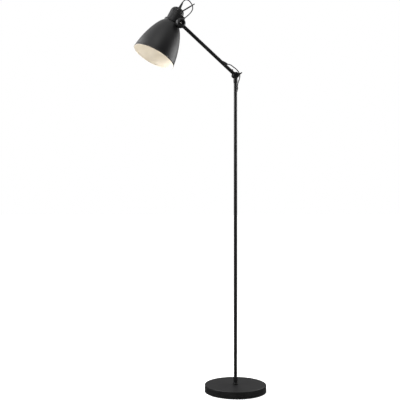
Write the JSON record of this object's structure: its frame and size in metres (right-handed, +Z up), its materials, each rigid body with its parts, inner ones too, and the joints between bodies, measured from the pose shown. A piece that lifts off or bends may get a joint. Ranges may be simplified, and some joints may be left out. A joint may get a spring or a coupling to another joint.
{
  "type": "adjustable arm floor lamp",
  "caption": "Floor lamp with a weighted round base, slim pole, hinged arm and bell shade on a friction hinge, with exposed lead loops.",
  "frame": {"origin": "centre of the round base's underside, on the floor", "axes": "+Z up along the pole; the arm lies in the XZ plane and points toward -X; +Y is the hidden side that carries the elbow knob"},
  "size_m": [0.4636, 0.225, 1.3633],
  "materials": {
    "black_steel": "fine satin black powder coat on steel",
    "cast_iron": "as-cast, dark",
    "zinc_steel": "zinc plated",
    "bright_steel": "bright nickel plate",
    "black_hardware": "black oxide steel",
    "black_nylon": "moulded, fine matt",
    "natural_nylon": "moulded",
    "white_thermoset": "moulded thermoset",
    "brass": "pressed sheet",
    "dark_sheet": "matt black painted sheet steel",
    "felt": "dense black felt",
    "lead_sheath": "matt black sheath"
  },
  "bodies": {
    "stand": {"base_pad": "felt", "base_bottom_plate": "dark_sheet", "bottom_plate_screws": "zinc_steel", "base_weight": "cast_iron", "base_cover": "black_steel", "mains_inlet_bush": "black_nylon", "lead_clamp": "natural_nylon", "threaded_nipple": "zinc_steel", "base_washer": "zinc_steel", "base_nut": "zinc_steel", "base_collar": "black_steel", "pole_lower": "black_steel", "pole_coupler": "zinc_steel", "pole_upper": "black_steel", "pole_lead_bush": "black_nylon", "elbow_fork": "black_steel", "elbow_guide": "black_steel", "elbow_bolt": "black_hardware", "pole_lead": "lead_sheath"},
    "elbow_knob": {"elbow_knob": "black_nylon"},
    "arm": {"elbow_washers": "natural_nylon", "elbow_lead_loop": "lead_sheath", "arm_tongue": "black_steel", "arm_set_screw": "black_hardware", "arm_tube": "black_steel", "arm_lead_bush": "black_nylon", "arm_head_end": "black_steel", "arm_lead": "lead_sheath"},
    "head": {"head_bracket": "black_steel", "head_bolt": "bright_steel", "head_bolt_nut": "bright_steel", "head_washers": "black_nylon", "shade": "black_steel", "shade_ring": "black_steel", "lampholder_body": "white_thermoset", "lampholder_thread": "brass", "lampholder_contacts": "brass", "lampholder_nut": "white_thermoset", "cap": "black_steel", "cap_cone": "black_nylon", "head_guide": "black_steel", "holder_lead": "lead_sheath", "head_lead_loop": "lead_sheath"}
  },
  "joints": [
    {"name": "elbow_tilt", "type": "hinge", "parent": "stand", "child": "arm", "pos_m": [0, 0, 1.105], "axis": [0, 1, 0], "range_deg": [-60, 45], "deforming": ["elbow_lead_loop"]},
    {"name": "head_tilt", "type": "hinge", "parent": "arm", "child": "head", "pos_m": [-0.20725, 0, 1.26692], "axis": [0, 1, 0], "range_deg": [-35, 60], "deforming": ["head_lead_loop"]},
    {"name": "elbow_knob_turn", "type": "hinge", "parent": "stand", "child": "elbow_knob", "pos_m": [0, 0.0135, 1.105], "axis": [0, 1, 0], "range_deg": [-180, 180]}
  ]
}
